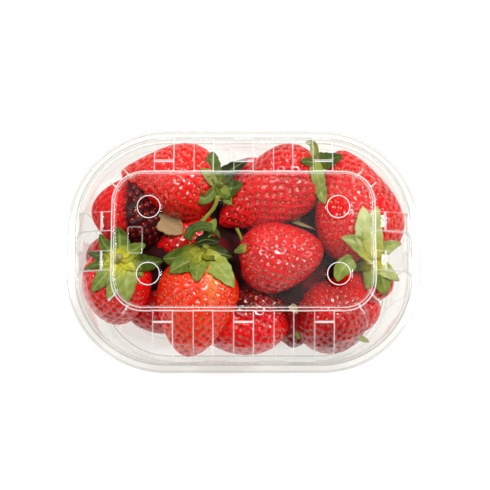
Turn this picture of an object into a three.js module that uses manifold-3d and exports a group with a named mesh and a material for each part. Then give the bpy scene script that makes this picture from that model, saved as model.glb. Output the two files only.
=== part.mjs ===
// A punnet of strawberries: a clear tapered tray, a clear clip-on lid with a raised
// stacking deck and four vent holes, and the heap of berries that fills them.
// Millimetres, +Z up. The origin is the middle of the base, on the surface it stands on.

import * as THREE from 'three';
import { mergeVertices } from 'three/addons/utils/BufferGeometryUtils.js';
import Module from 'manifold-3d';

// ---- Driving dimensions ------------------------------------------------------------

const WALL = 0.6;                // thickness of the clear plastic
const FIT_GAP = 0.4;             // clear distance between the tray, the lid and the berries

const RIM_LENGTH = 190;          // over the lid's rim
const RIM_DEPTH = 134;
const RIM_CORNER = 54;
const RIM_Z = 46.4;              // top of the lid's rim
const RIM_FLANGE = 4.6;          // flat width of a rim, outside its wall
const LID_LIP = 5.4;             // how far the lid's rim turns down over the tray's rim
const LID_LIP_DRAFT = 0.3;       // how far the lip leans out
const TRAY_RIM_Z = RIM_Z - WALL - FIT_GAP;
const TRAY_RIM_CLEAR = 0.8;      // sideways room for the tray's rim inside the lip
const TRAY_LIP = 2.8;

const DECK_LENGTH = 139;         // the raised deck of the lid
const DECK_DEPTH = 75.2;
const DECK_CORNER = 17;
const DECK_Z = 71;
const DECK_BEAD = 0.9;           // height of the bead round the deck
const DECK_BEAD_WIDTH = 2.2;
const DECK_BEAD_TOP = [0.7, 0.35];    // the bead's flat top, as shares of its width
const SHOULDER_Z = 64.5;         // where the lid's slope turns into its wall
const SHOULDER_LENGTH = 174.6;
const SHOULDER_DEPTH = 114.6;
const SHOULDER_CORNER = 46.5;

const LID_PANELS = { long: 9, short: 3, pitch: 10.55 };    // raised and sunk by turns
const TRAY_PANELS = { long: 5, short: 3, pitch: 16 };
const RIB_EDGE = 0.35;           // half the width of a panel's sloping side
const RIB_LIFT = [0, 1.0, 1.8];  // height of a panel on the slope, by its level
const RIB_SET_BACK = [2.1, 0.3, 0];
const CORNER_PANEL = 5;          // half the width of the one panel at each corner
const CORNER_SHARES = [0, 0.17, 0.33];
const SLOPE_STEP = [0.28, 0.31]; // where the stepped panels rise, as shares of the slope
const DECK_FOOT_SHARE = 0.7;     // height of a panel at the deck, as a share of its lift

const VENT_DIAMETER = 11.6;
const VENT_X = 50;
const VENT_Y = 18;
const VENT_SIDES = 16;

const BASE_LENGTH = 157;
const BASE_DEPTH = 101;
const BASE_CORNER = 38;
const BASE_DISH = 1.6;           // how far the middle of the base stands off the floor
const STANDING_RING = 10;        // width of the ring that it stands on
const DISH_SLOPE = 2;            // width of the slope from the ring to the middle
const FOOT_Z = 2.4;              // height of the flared foot
const FOOT_FLARE = 2;
const MOUTH_INSET = 6.4;         // from the lid's rim in to the tray's mouth
const MOUTH_DROP = 3.4;          // from the tray's rim down to its mouth
const MOUTH_EASE = 1.2;          // the bevel between the two
const TRAY_RIB_OUT = 1.4;
const TRAY_RIB_LOW = [6, 7.5];   // heights where a rib rises from the wall
const TRAY_RIB_HIGH = [35.5, 37];    // and where it ends

const UPPER_BERRY_SIDES = 12;    // the upper berries show best, so they are rounder
const UPPER_BERRY_BANDS = 8;
const LOWER_BERRY_SIDES = 8;
const LOWER_BERRY_BANDS = 5;
const LEAF_THICKNESS = 0.6;
const LEAF_WIDTH = 7.5;
const LEAF_LENGTH = 16;
const LEAF_BEND = 65;            // degrees over its length
const LEAF_WAVE = 0.8;
const CROWN_RADIUS = 3.2;        // where the leaves leave the berry
const CROWN_DEPTH = 1.6;         // how far under its top they start
const LEAF_LIFT = 35;            // degrees by which they rise from it
const LEAF_STAGGER = 12;         // degrees more for every second leaf
const RANDOM_SEED = 11;

// Each berry runs from its crown, where the leaves sit, to its tip. `taper` is how much
// narrower it is towards the tip, and `leaves` is the number of leaves in its crown.
const UPPER_BERRIES = [
  { crown: [-14, 35, 50], tip: [-67, 44, 41], width: 42, taper: 0.55, leaves: 5 },
  { crown: [-72, 5, 35], tip: [-50, 44, 36], width: 45, taper: 0.35, leaves: 0 },
  { crown: [41, 49, 48], tip: [-13, 15, 44], width: 40, taper: 0.45, leaves: 5 },
  { crown: [69, -6, 48], tip: [52, 57, 41], width: 49, taper: 0.42, leaves: 6 },
  { crown: [-68, -8, 57], tip: [-69, -31, 12], width: 38, taper: 0.3, leaves: 7 },
  { crown: [-20.5, -6, 54], tip: [-31, -54.5, 27], width: 43, taper: 0.3, leaves: 5 },
  { crown: [-3, -8, 48], tip: [43, 0, 49], width: 38, taper: 0.25, leaves: 0 },
  { crown: [25, -33, 31], tip: [-26, -37, 26], width: 38, taper: 0.15, leaves: 0 },
  { crown: [47.5, -28, 7], tip: [48.5, -37, 53], width: 42, taper: 0.25, leaves: 0 },
];
const LOWER_BERRIES = [
  { crown: [56, -7, 24], tip: [81, -18, 33], width: 31, taper: 0.3 },
  { crown: [-32, -22, 20], tip: [-64, -30, 19], width: 32, taper: 0.3 },
  { crown: [-12, 8, 28], tip: [-56, 13, 25], width: 36, taper: 0.3 },
  { crown: [20, 41, 27], tip: [-20, 41, 28], width: 30, taper: 0.3 },
  { crown: [-64, 36, 22], tip: [-30, 38, 20], width: 34, taper: 0.3 },
  { crown: [68, 12, 18], tip: [44, 38, 20], width: 36, taper: 0.3 },
  { crown: [12, 6, 20], tip: [46, 10, 19], width: 34, taper: 0.3 },
  { crown: [-79, 14, 24], tip: [-62, -8, 17], width: 30, taper: 0.3 },
  { crown: [-16, -20, 22], tip: [-24, -46, 13], width: 28, taper: 0.3 },
  { crown: [26, -16, 22], tip: [28, -48, 14], width: 28, taper: 0.3 },
  { crown: [-52, 4, 17], tip: [-16, 0, 16], width: 30, taper: 0.3 },
  { crown: [-8, -4, 16], tip: [27, -9, 17], width: 30, taper: 0.3 },
  { crown: [30, -6, 16], tip: [64, -2, 17], width: 29, taper: 0.3 },
  { crown: [18, 14, 17], tip: [-20, 18, 17], width: 30, taper: 0.3 },
  { crown: [64, -16, 18], tip: [58, -42, 16], width: 28, taper: 0.3 },
];

// ---- Seeded draw -------------------------------------------------------------------

const random = (() => {
  let state = RANDOM_SEED;
  return () => {
    state = (state * 1664525 + 1013904223) % 4294967296;
    return state / 4294967296;
  };
})();
const jitter = (spread) => (random() * 2 - 1) * spread;

// ---- Rings: rounded rectangles at a height -----------------------------------------

const ring = (length, depth, corner, z) => ({ a: length / 2, b: depth / 2, r: corner, z });
const inset = (from, d, dz) => ({ a: from.a - d, b: from.b - d, r: from.r - d, z: from.z + dz });

const QUARTER = Math.PI / 2;
const quarterLength = ({ a, b, r }) => (a - r) + QUARTER * r + (b - r);

// Distance along the outline, from the middle of the long side, of the point at x.
function alongFromX({ a, r }, x) {
  return x <= a - r ? x : (a - r) + r * Math.asin((x - (a - r)) / r);
}

// The same for the point of the short side that lies y away from its middle.
function alongFromY(outline, y) {
  const { b, r } = outline;
  const back = y <= b - r ? y : (b - r) + r * Math.asin((y - (b - r)) / r);
  return quarterLength(outline) - back;
}

// The point at a distance along the first quarter, from (0, b) round to (a, 0).
function quarterPoint({ a, b, r }, s) {
  if (s <= a - r) return [s, b];
  const turned = (s - (a - r)) / r;
  if (turned <= QUARTER) {
    return [a - r + r * Math.sin(turned), b - r + r * Math.cos(turned)];
  }
  return [a, b - r - (s - (a - r) - QUARTER * r)];
}

// ---- Stations: the places round the outline where panels start and end --------------

// A station says where its point lies on a quarter of the outline and at which level its
// panel is, inside the slope's step and outside it.
const LEVELS = {
  sunk: { inner: 0, outer: 0 },
  plain: { inner: 1, outer: 1 },
  stepped: { inner: 1, outer: 2 },
};

// Panels alternate from the outer ones, which are raised. Every other raised one is stepped.
function panelLevel(indexFromMiddle, count) {
  const fromEnd = (count - 1) / 2 - indexFromMiddle;
  if (fromEnd % 2 === 1) return LEVELS.sunk;
  return fromEnd % 4 === 0 ? LEVELS.stepped : LEVELS.plain;
}

// Half of one side: the panel across its middle, then each one out to the last.
function sideStations(panels, kind) {
  const stations = [];
  for (let i = 0; i <= (panels[kind] - 1) / 2; i++) {
    const level = panelLevel(i, panels[kind]);
    const near = (i - 0.5) * panels.pitch + RIB_EDGE;
    const far = (i + 0.5) * panels.pitch - RIB_EDGE;
    if (i > 0) stations.push({ kind, at: near, level });
    stations.push({ kind, at: far, level });
  }
  return stations;
}

// Each corner runs from the last long panel to the last short one. `shares` are the places
// of its first half, and the lid has one raised panel across its middle.
function cornerStations(panels, shares, panelHalfWidth) {
  const span = {
    kind: 'corner',
    startX: panels.long / 2 * panels.pitch + RIB_EDGE,
    endY: panels.short / 2 * panels.pitch + RIB_EDGE,
  };
  const sunk = (t) => ({ ...span, t, offset: 0, level: LEVELS.sunk });
  const edge = (offset, level) => ({ ...span, t: 0.5, offset, level });
  const panel = panelHalfWidth === 0 ? [sunk(0.5)] : [
    edge(-panelHalfWidth - RIB_EDGE, LEVELS.sunk),
    edge(-panelHalfWidth + RIB_EDGE, LEVELS.plain),
    edge(0, LEVELS.plain),
    edge(panelHalfWidth - RIB_EDGE, LEVELS.plain),
    edge(panelHalfWidth + RIB_EDGE, LEVELS.sunk),
  ];
  const mirrored = shares.map((t) => 1 - t).reverse();
  return [...shares.map(sunk), ...panel, ...mirrored.map(sunk)];
}

function quarterStations(panels, shares, panelHalfWidth) {
  return [
    ...sideStations(panels, 'long'),
    ...cornerStations(panels, shares, panelHalfWidth),
    ...sideStations(panels, 'short').reverse(),
  ];
}

function alongOutline(outline, station) {
  if (station.kind === 'long') return alongFromX(outline, station.at);
  if (station.kind === 'short') return alongFromY(outline, station.at);
  const start = alongFromX(outline, station.startX);
  const end = alongFromY(outline, station.endY);
  return start + (end - start) * station.t + station.offset;
}

// All four quarters of one ring. `relief` shifts the outline and lifts it by the level.
function ringPoints(outline, stations, relief) {
  const quarter = stations.map((station) => {
    const { out, up } = relief(station.level);
    const shifted = { ...outline, a: outline.a + out, b: outline.b + out, r: outline.r + out };
    const [x, y] = quarterPoint(shifted, alongOutline(shifted, station));
    return [x, y, outline.z + up];
  });
  const flipped = [...quarter].reverse();
  return [
    ...flipped,
    ...quarter.map(([x, y, z]) => [-x, y, z]),
    ...flipped.map(([x, y, z]) => [-x, -y, z]),
    ...quarter.map(([x, y, z]) => [x, -y, z]),
  ].map((p) => new THREE.Vector3(...p));
}

const flat = () => ({ out: 0, up: 0 });

// ---- Closed meshes from rings -------------------------------------------------------

function geometryFrom(points, triangles) {
  const geometry = new THREE.BufferGeometry().setFromPoints(points);
  geometry.setIndex(triangles.flat());
  return geometry;
}

// A skin over rings of equally many points. Each end is closed by a fan about its middle.
function loft(rings) {
  const count = rings[0].length;
  const last = rings.length - 1;
  const points = rings.flat();
  const middle = (of) => of.reduce((sum, p) => sum.add(p), new THREE.Vector3()).divideScalar(count);
  const firstHub = points.push(middle(rings[0])) - 1;
  const lastHub = points.push(middle(rings[last])) - 1;
  const triangles = [];
  for (let j = 0; j < count; j++) {
    const next = (j + 1) % count;
    triangles.push([firstHub, next, j], [lastHub, last * count + j, last * count + next]);
    for (let i = 0; i < last; i++) {
      const a = i * count + j;
      const b = i * count + next;
      triangles.push([a, b, b + count], [a, b + count, a + count]);
    }
  }
  return geometryFrom(points, triangles);
}

// ---- Booleans -----------------------------------------------------------------------

const WELD = 1e-3;               // points closer than this are one

const wasm = await Module();
wasm.setup();

function toSolid(geometry) {
  const bare = geometry.clone();
  bare.deleteAttribute('normal');
  bare.deleteAttribute('uv');
  const merged = mergeVertices(bare, WELD);
  const mesh = new wasm.Mesh({
    numProp: 3,
    vertProperties: Float32Array.from(merged.attributes.position.array),
    triVerts: Uint32Array.from(merged.index.array),
  });
  return new wasm.Manifold(mesh);
}

function toGeometry(solid) {
  const { vertProperties, triVerts } = solid.getMesh();
  const geometry = new THREE.BufferGeometry();
  geometry.setAttribute('position', new THREE.BufferAttribute(vertProperties, 3));
  geometry.setIndex(new THREE.BufferAttribute(triVerts, 1));
  geometry.computeVertexNormals();
  return geometry;
}

const join = (solids) => solids.reduce((all, solid) => all.add(solid));

// Four upright cylinders where the vents go, long enough to cut the wall at that height.
function ventCutters(z) {
  const reach = 8;
  const cutters = [];
  for (const x of [-VENT_X, VENT_X]) {
    for (const y of [-VENT_Y, VENT_Y]) {
      const cutter = new THREE.CylinderGeometry(VENT_DIAMETER / 2, VENT_DIAMETER / 2, reach, VENT_SIDES);
      cutters.push(toSolid(cutter.rotateX(QUARTER).translate(x, y, z)));
    }
  }
  return cutters;
}

// ---- Lid ----------------------------------------------------------------------------

const rimRing = ring(RIM_LENGTH, RIM_DEPTH, RIM_CORNER, RIM_Z);
const wallFoot = inset(rimRing, RIM_FLANGE, 0);
const shoulder = ring(SHOULDER_LENGTH, SHOULDER_DEPTH, SHOULDER_CORNER, SHOULDER_Z);
const deckEdge = ring(DECK_LENGTH, DECK_DEPTH, DECK_CORNER, DECK_Z);

// A ring part of the way from the deck's foot down the slope to the shoulder.
function slopeRing(share) {
  const mix = (key) => deckEdge[key] + (shoulder[key] - deckEdge[key]) * share;
  return { a: mix('a'), b: mix('b'), r: mix('r'), z: mix('z') - (1 - share) * DECK_BEAD };
}

const onSlope = (side) => (level) => ({ out: 0, up: RIB_LIFT[level[side]] });
const onShoulder = (level) => ({ out: -RIB_SET_BACK[level.outer], up: RIB_LIFT[level.outer] });
const atDeckFoot = (level) => ({ out: 0, up: RIB_LIFT[level.inner] * DECK_FOOT_SHARE });

// The lid's outer face from the deck's middle out, then its inner face.
function lidOuterProfile() {
  return [
    [inset(deckEdge, DECK_BEAD_WIDTH, 0), flat],
    [inset(deckEdge, DECK_BEAD_WIDTH * DECK_BEAD_TOP[0], DECK_BEAD), flat],
    [inset(deckEdge, DECK_BEAD_WIDTH * DECK_BEAD_TOP[1], DECK_BEAD), flat],
    [slopeRing(0), atDeckFoot],
    [slopeRing(SLOPE_STEP[0]), onSlope('inner')],
    [slopeRing(SLOPE_STEP[1]), onSlope('outer')],
    [shoulder, onShoulder],
    [wallFoot, flat],
    [inset(rimRing, LID_LIP_DRAFT, 0), flat],
    [inset(rimRing, 0, -LID_LIP), flat],
  ];
}

// The steeper the wall, the further in its inner face lies.
function lidInnerProfile() {
  const onDeckFoot = WALL / 2;
  const alongSlope = WALL / 4;
  const underShoulder = WALL * 3 / 4;
  return [
    [inset(deckEdge, DECK_BEAD_WIDTH, -WALL), flat],
    [inset(slopeRing(0), onDeckFoot, -WALL), atDeckFoot],
    [inset(slopeRing(SLOPE_STEP[0]), alongSlope, -WALL), onSlope('inner')],
    [inset(slopeRing(SLOPE_STEP[1]), alongSlope, -WALL), onSlope('outer')],
    [inset(shoulder, underShoulder, -WALL), onShoulder],
    [inset(wallFoot, WALL, -WALL), flat],
    [inset(rimRing, WALL + LID_LIP_DRAFT, -WALL), flat],
    [inset(rimRing, WALL, -LID_LIP), flat],
  ];
}

const traced = (profile, stations) =>
  profile.map(([outline, relief]) => ringPoints(outline, stations, relief));

function makeLid() {
  const stations = quarterStations(LID_PANELS, CORNER_SHARES, CORNER_PANEL);
  const inner = traced(lidInnerProfile(), stations);
  const outer = traced(lidOuterProfile(), stations).reverse();
  const shell = toSolid(loft([...inner, ...outer]));
  const vented = shell.subtract(join(ventCutters(DECK_Z)));
  return vented.add(toSolid(labelFrame()));
}

// A small raised frame on the deck, left bare.
function labelFrame() {
  const length = 8;
  const depth = 14.6;
  const line = 1;
  const height = 0.45;
  const shape = new THREE.Shape();
  shape.moveTo(-length / 2, -depth / 2);
  shape.lineTo(length / 2, -depth / 2);
  shape.lineTo(length / 2, depth / 2);
  shape.lineTo(-length / 2, depth / 2);
  const hole = new THREE.Path();
  hole.moveTo(-length / 2 + line, -depth / 2 + line);
  hole.lineTo(-length / 2 + line, depth / 2 - line);
  hole.lineTo(length / 2 - line, depth / 2 - line);
  hole.lineTo(length / 2 - line, -depth / 2 + line);
  shape.holes.push(hole);
  const sunk = 0.3;
  const frame = new THREE.ExtrudeGeometry(shape, { depth: height + sunk, bevelEnabled: false });
  return frame.translate(-57, 0, DECK_Z - sunk);
}

// ---- Tray ---------------------------------------------------------------------------

const foot = ring(BASE_LENGTH, BASE_DEPTH, BASE_CORNER, 0);
const trayRim = { ...inset(rimRing, WALL + TRAY_RIM_CLEAR, 0), z: TRAY_RIM_Z };
const mouth = { ...inset(rimRing, MOUTH_INSET, 0), z: TRAY_RIM_Z - MOUTH_DROP };

// A ring of the tray's wall at a height, between the foot and the mouth.
function wallRing(z) {
  const share = (z - FOOT_Z) / (mouth.z - FOOT_Z);
  const low = inset(foot, -FOOT_FLARE, 0);
  const mix = (key) => low[key] + (mouth[key] - low[key]) * share;
  return { a: mix('a'), b: mix('b'), r: mix('r'), z };
}

const onTrayWall = (level) => ({ out: level.outer > 0 ? TRAY_RIB_OUT : 0, up: 0 });

function trayProfile() {
  const outerFace = [
    [inset(foot, STANDING_RING + DISH_SLOPE, BASE_DISH), flat],
    [inset(foot, STANDING_RING, 0), flat],
    [foot, flat],
    [wallRing(FOOT_Z), flat],
    [wallRing(TRAY_RIB_LOW[0]), flat],
    [wallRing(TRAY_RIB_LOW[1]), onTrayWall],
    [wallRing(TRAY_RIB_HIGH[0]), onTrayWall],
    [wallRing(TRAY_RIB_HIGH[1]), flat],
    [mouth, flat],
    [inset(mouth, -MOUTH_EASE, MOUTH_EASE), flat],
    [inset(trayRim, RIM_FLANGE - WALL, -WALL), flat],
    [inset(trayRim, WALL, -WALL), flat],
    [inset(trayRim, WALL, -TRAY_LIP), flat],
    [inset(trayRim, 0, -TRAY_LIP), flat],
    [trayRim, flat],
  ];
  const innerFace = [
    [inset(trayRim, RIM_FLANGE, 0), flat],
    [inset(mouth, WALL - MOUTH_EASE, MOUTH_EASE + WALL / 3), flat],
    [inset(mouth, WALL, WALL / 3), flat],
    [inset(wallRing(TRAY_RIB_HIGH[1]), WALL, 0), flat],
    [inset(wallRing(TRAY_RIB_HIGH[0]), WALL, 0), onTrayWall],
    [inset(wallRing(TRAY_RIB_LOW[1]), WALL, 0), onTrayWall],
    [inset(wallRing(TRAY_RIB_LOW[0]), WALL, 0), flat],
    [inset(wallRing(FOOT_Z), WALL, WALL / 3), flat],
    [inset(foot, WALL, WALL), flat],
    [inset(foot, STANDING_RING - WALL / 2, WALL), flat],
    [inset(foot, STANDING_RING + DISH_SLOPE - WALL / 2, BASE_DISH + WALL), flat],
  ];
  return [...outerFace, ...innerFace];
}

function makeTray() {
  const stations = quarterStations(TRAY_PANELS, CORNER_SHARES, 0);
  const shell = toSolid(loft(traced(trayProfile(), stations)));
  return shell.subtract(join(ventCutters(BASE_DISH)));
}

// ---- Berries ------------------------------------------------------------------------

// The free space inside the shut punnet, which the heap keeps within.
function insideSpace() {
  const stations = quarterStations(TRAY_PANELS, CORNER_SHARES, 0);
  const clear = WALL + FIT_GAP;
  const sunkShoulder = inset(shoulder, RIB_SET_BACK[0] + clear, -clear);
  const rings = [
    inset(foot, WALL + clear, BASE_DISH + clear),
    inset(wallRing(TRAY_RIB_LOW[1]), clear, 0),
    inset(wallRing(TRAY_RIB_HIGH[0]), clear, 0),
    inset(mouth, clear, 0),
    inset(trayRim, RIM_FLANGE + FIT_GAP, 0),
    inset(trayRim, RIM_FLANGE + clear, 2 * clear),
    sunkShoulder,
    inset(slopeRing(0), clear, -clear),
    inset(deckEdge, DECK_BEAD_WIDTH + clear, -clear),
  ];
  return toSolid(loft(traced(rings.map((outline) => [outline, flat]), stations)));
}

// The berry's radius at x, which runs from -1 at the tip to 1 at the crown.
function berryRadius(x, width, taper) {
  const fullest = (Math.sqrt(1 + 8 * taper * taper) - 1) / (4 * taper);
  const full = Math.sqrt(1 - fullest * fullest) * (1 + taper * fullest);
  return width / 2 * Math.sqrt(1 - x * x) * (1 + taper * x) / full;
}

// A berry along Z with its crown up, its middle at the origin.
function berryGeometry(length, { width, taper }, sides, bands) {
  const rings = [];
  const polar = 0.16;
  for (let i = 0; i <= bands; i++) {
    const x = -Math.cos(polar + (Math.PI - 2 * polar) * i / bands);
    const radius = berryRadius(x, width, taper);
    const twist = (i % 2) * Math.PI / sides;
    const points = [];
    for (let j = 0; j < sides; j++) {
      const angle = twist + 2 * Math.PI * j / sides;
      points.push(new THREE.Vector3(radius * Math.cos(angle), radius * Math.sin(angle), x * length / 2));
    }
    rings.push(points);
  }
  return loft(rings);
}

// A thin leaf from rows of points: the same triangles on both faces, and a closed edge.
function leafGeometry(rows) {
  const across = rows[0].points.length;
  const points = [];
  for (const side of [1, -1]) {
    for (const row of rows) {
      for (const p of row.points) {
        points.push(p.clone().addScaledVector(row.normal, side * LEAF_THICKNESS / 2));
      }
    }
  }
  const under = rows.length * across;
  const triangles = [];
  const quad = (a, b, c, d) => triangles.push([a, b, c], [a, c, d]);
  for (let i = 0; i + 1 < rows.length; i++) {
    for (let j = 0; j + 1 < across; j++) {
      const a = i * across + j;
      quad(a, a + across, a + across + 1, a + 1);
      triangles.push([under + a, under + a + across + 1, under + a + across]);
      triangles.push([under + a, under + a + 1, under + a + across + 1]);
    }
    const left = i * across;
    const right = left + across - 1;
    quad(left, under + left, under + left + across, left + across);
    quad(right, right + across, under + right + across, under + right);
  }
  for (let j = 0; j + 1 < across; j++) {
    const far = (rows.length - 1) * across + j;
    quad(j, j + 1, under + j + 1, under + j);
    quad(far, under + far, under + far + 1, far + 1);
  }
  return geometryFrom(points, triangles);
}

// One leaf of a crown, lying along +X. It rises out of the berry by `lift` and then bends
// over. Its middle line is sunk and its edges wave.
function crownLeaf(length, lift) {
  const shares = [0, 0.35, 0.72, 1];
  const widths = [0.3, 1, 0.72, 0.06];
  const bend = THREE.MathUtils.degToRad(LEAF_BEND + jitter(15));
  const at = new THREE.Vector3(CROWN_RADIUS, 0, -CROWN_DEPTH);
  let before = 0;
  const rows = shares.map((share, i) => {
    const angle = THREE.MathUtils.degToRad(lift) - bend * share;
    const step = (share - before) * length;
    before = share;
    at.add(new THREE.Vector3(Math.cos(angle) * step, 0, Math.sin(angle) * step));
    const half = LEAF_WIDTH / 2 * widths[i];
    const wave = widths[i] > 0.5 ? LEAF_WAVE + jitter(LEAF_WAVE / 2) : 0;
    const points = [
      at.clone().add(new THREE.Vector3(0, half, wave)),
      at.clone(),
      at.clone().add(new THREE.Vector3(0, -half, wave)),
    ];
    return { points, normal: new THREE.Vector3(-Math.sin(angle), 0, Math.cos(angle)) };
  });
  return leafGeometry(rows);
}

// The leaves of one crown, every second one lifted a little more.
function crownLeaves(leaves, crownZ) {
  const start = random() * Math.PI;
  const made = [];
  for (let i = 0; i < leaves; i++) {
    const leaf = crownLeaf(LEAF_LENGTH + jitter(2.5), LEAF_LIFT + (i % 2) * LEAF_STAGGER + jitter(4));
    leaf.rotateZ(start + 2 * Math.PI * i / leaves + jitter(0.1));
    made.push(leaf.translate(0, 0, crownZ));
  }
  return made;
}

function placedBerry(berry, sides, bands, leaves) {
  const crown = new THREE.Vector3(...berry.crown);
  const tip = new THREE.Vector3(...berry.tip);
  const length = crown.distanceTo(tip);
  const placed = new THREE.Object3D();
  placed.position.copy(crown).lerp(tip, 0.5);
  const towardsCrown = crown.clone().sub(tip).normalize();
  placed.quaternion.setFromUnitVectors(new THREE.Vector3(0, 0, 1), towardsCrown);
  placed.updateMatrix();
  const pieces = [berryGeometry(length, berry, sides, bands), ...leaves(length / 2)];
  return join(pieces.map((piece) => toSolid(piece.applyMatrix4(placed.matrix))));
}

const upperBerry = (berry) =>
  placedBerry(berry, UPPER_BERRY_SIDES, UPPER_BERRY_BANDS, (crownZ) => crownLeaves(berry.leaves, crownZ));
const lowerBerry = (berry) =>
  placedBerry(berry, LOWER_BERRY_SIDES, LOWER_BERRY_BANDS, () => []);

// The middle of the heap, under and between the berries that show.
function heapCore() {
  const stations = [
    { kind: 'long', at: 18 },
    { kind: 'long', at: 44 },
    { kind: 'corner', startX: 44, endY: 14, t: 0.35, offset: 0 },
    { kind: 'corner', startX: 44, endY: 14, t: 0.65, offset: 0 },
    { kind: 'short', at: 14 },
  ];
  const rings = [
    ring(100, 46, 18, 14),
    ring(118, 62, 26, 21),
    ring(116, 62, 26, 30),
    ring(94, 42, 17, 37),
  ];
  return toSolid(loft(traced(rings.map((outline) => [outline, flat]), stations)));
}

// The largest closed surface of a solid, which leaves out sealed hollows and loose scraps.
function mainBody(solid) {
  const bodies = solid.decompose();
  return bodies.reduce((largest, body) => (body.volume() > largest.volume() ? body : largest));
}

function makeHeap() {
  const heap = join([heapCore(), ...UPPER_BERRIES.map(upperBerry), ...LOWER_BERRIES.map(lowerBerry)]);
  const clipped = mainBody(heap.intersect(insideSpace()));
  return mainBody(toSolid(toGeometry(clipped)));
}

// ---- Assembly -----------------------------------------------------------------------

const clearPlastic = () => new THREE.MeshStandardMaterial({
  color: 0xeef2f0,
  roughness: 0.08,
  metalness: 0,
  transparent: true,
  opacity: 0.3,
});
const berryFlesh = new THREE.MeshStandardMaterial({ color: 0xc8141c, roughness: 0.35, metalness: 0 });

function named(name, solid, material) {
  const mesh = new THREE.Mesh(toGeometry(solid), material);
  mesh.name = name;
  return mesh;
}

const punnet = new THREE.Group();
punnet.add(named('tray', makeTray(), clearPlastic()));
punnet.add(named('lid', makeLid(), clearPlastic()));
punnet.add(named('berries', makeHeap(), berryFlesh));

export default punnet;
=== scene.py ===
import random
from math import asin, atan2, cos, hypot, pi, radians, sin, sqrt

import bmesh
import bpy
import numpy as np
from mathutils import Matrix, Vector


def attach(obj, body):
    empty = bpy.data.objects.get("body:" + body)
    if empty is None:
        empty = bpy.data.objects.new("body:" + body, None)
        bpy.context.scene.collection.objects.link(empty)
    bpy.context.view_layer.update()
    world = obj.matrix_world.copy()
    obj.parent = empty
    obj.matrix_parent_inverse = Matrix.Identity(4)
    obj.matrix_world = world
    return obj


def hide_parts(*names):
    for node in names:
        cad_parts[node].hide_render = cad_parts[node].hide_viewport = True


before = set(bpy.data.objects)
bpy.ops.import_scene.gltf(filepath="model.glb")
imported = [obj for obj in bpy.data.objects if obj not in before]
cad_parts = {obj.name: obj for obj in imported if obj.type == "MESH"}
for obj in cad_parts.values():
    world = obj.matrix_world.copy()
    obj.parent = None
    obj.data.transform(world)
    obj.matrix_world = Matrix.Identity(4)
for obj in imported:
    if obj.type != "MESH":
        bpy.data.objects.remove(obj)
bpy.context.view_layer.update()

# ---- Tray ----
# The bottom half of the punnet: a tapered tray vacuum-formed from one sheet of clear PET, with
# shallow ribs in its wall, a standing ring round a slightly raised middle and a turned-down rim.
# The forming leaves every edge softly rounded, and the edges show as thin bright lines: the rounded
# edges' own reflections, with painted highlight added at the sharper bends.

MM = 0.001
SHEET = 0.35
RIM_CORNER = 54.0
RIM_Z = 46.4
RIM_FLANGE = 4.6
TRAY_RIM_Z = RIM_Z - 1.0
TRAY_LIP = 2.8
STANDING_RING = 10.0
DISH_SLOPE = 2.0
BASE_DISH = 1.6
FOOT_Z = 2.4
TRAY_RIB_OUT = 1.4
HOLE_RADIUS = 5.8
HOLE_X = 50.0
HOLE_Y = 18.0
HOLE_POINTS = 48
RIB_START, RIB_LOW, RIB_HIGH, RIB_END = 6.0, 7.5, 35.5, 37.0


def ring(length, depth, corner, z):
    """A rounded rectangle at a height: half length, half depth, corner radius, z, in mm."""
    return np.array([length / 2, depth / 2, corner, z])


def inset(outline, by, dz=0.0):
    return outline + np.array([-by, -by, -by, dz])


def quarter_point(outline, s):
    a, b, r, z = outline
    if s <= a - r:
        return s, b
    turned = (s - a + r) / r
    if turned <= pi / 2:
        return a - r + r * sin(turned), b - r + r * cos(turned)
    return a, b - r - (s - a + r - pi / 2 * r)


# Across a panel's edge: offset in edge widths, share of the step, and how sharply the sheet bends.
SOFT_EDGE = [(-1.3, 0.0, 0.0), (-0.6, 0.14, 0.4), (0.0, 0.5, 0.8), (0.6, 0.86, 0.4), (1.3, 1.0, 0.0)]
EDGE_REACH = SOFT_EDGE[-1][0]


def side_stations(kind, count, pitch, edge, levels):
    """Half of one side, from its middle out: (kind, place, relief, bend) across panels and edges."""
    made = []
    last = (count - 1) // 2
    for i in range(last + 1):
        here = np.array(levels[(last - i) % len(levels)])
        after = np.array(levels[(last - i - 1) % len(levels)]) if i < last else 0 * here
        start = (i - 0.5) * pitch + EDGE_REACH * edge
        end = (i + 0.5) * pitch - EDGE_REACH * edge
        places = [start + (end - start) * share for share in (0.2, 0.4, 0.6, 0.8)]
        made += [(kind, place, here, 0.0) for place in places if place > 0.1]
        for offset, share, bend in SOFT_EDGE:
            at = (i + 0.5) * pitch + offset * edge
            made.append((kind, at, here + (after - here) * share, bend))
    return made


def quarter_stations(panels, edge, levels, corner, steps):
    """The stations of a long side, a corner and a short side. corner: its panel's half width, level."""
    long_count, short_count, pitch = panels
    start_x = long_count / 2 * pitch + EDGE_REACH * edge
    end_y = short_count / 2 * pitch + EDGE_REACH * edge
    sunk = np.zeros(len(levels[0]))

    def at_corner(share, offset=0.0, level=sunk, bend=0.0):
        return "corner", (start_x, end_y, share, offset), level, bend

    first = np.linspace(0.02, 0.38, steps)
    middle = [at_corner(0.5)]
    if corner:
        half_width, raised = corner[0], np.array(corner[1])
        near = [at_corner(0.5, offset * edge - half_width, raised * share, bend)
                for offset, share, bend in SOFT_EDGE]
        near.append(at_corner(0.5, -half_width / 2, raised))
        far = [at_corner(0.5, -place[3], level, bend) for kind, place, level, bend in near[::-1]]
        middle = near + [at_corner(0.5, 0.0, raised)] + far
    return (side_stations("long", long_count, pitch, edge, levels) + [at_corner(t) for t in first]
            + middle + [at_corner(1 - t) for t in first[::-1]]
            + side_stations("short", short_count, pitch, edge, levels)[::-1])


def run(half, corner, at):
    """Distance from the middle of a side to a place on it or round in its corner."""
    if at <= half - corner:
        return at
    return half - corner + corner * asin(min(1.0, (at - half + corner) / corner))


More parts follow.
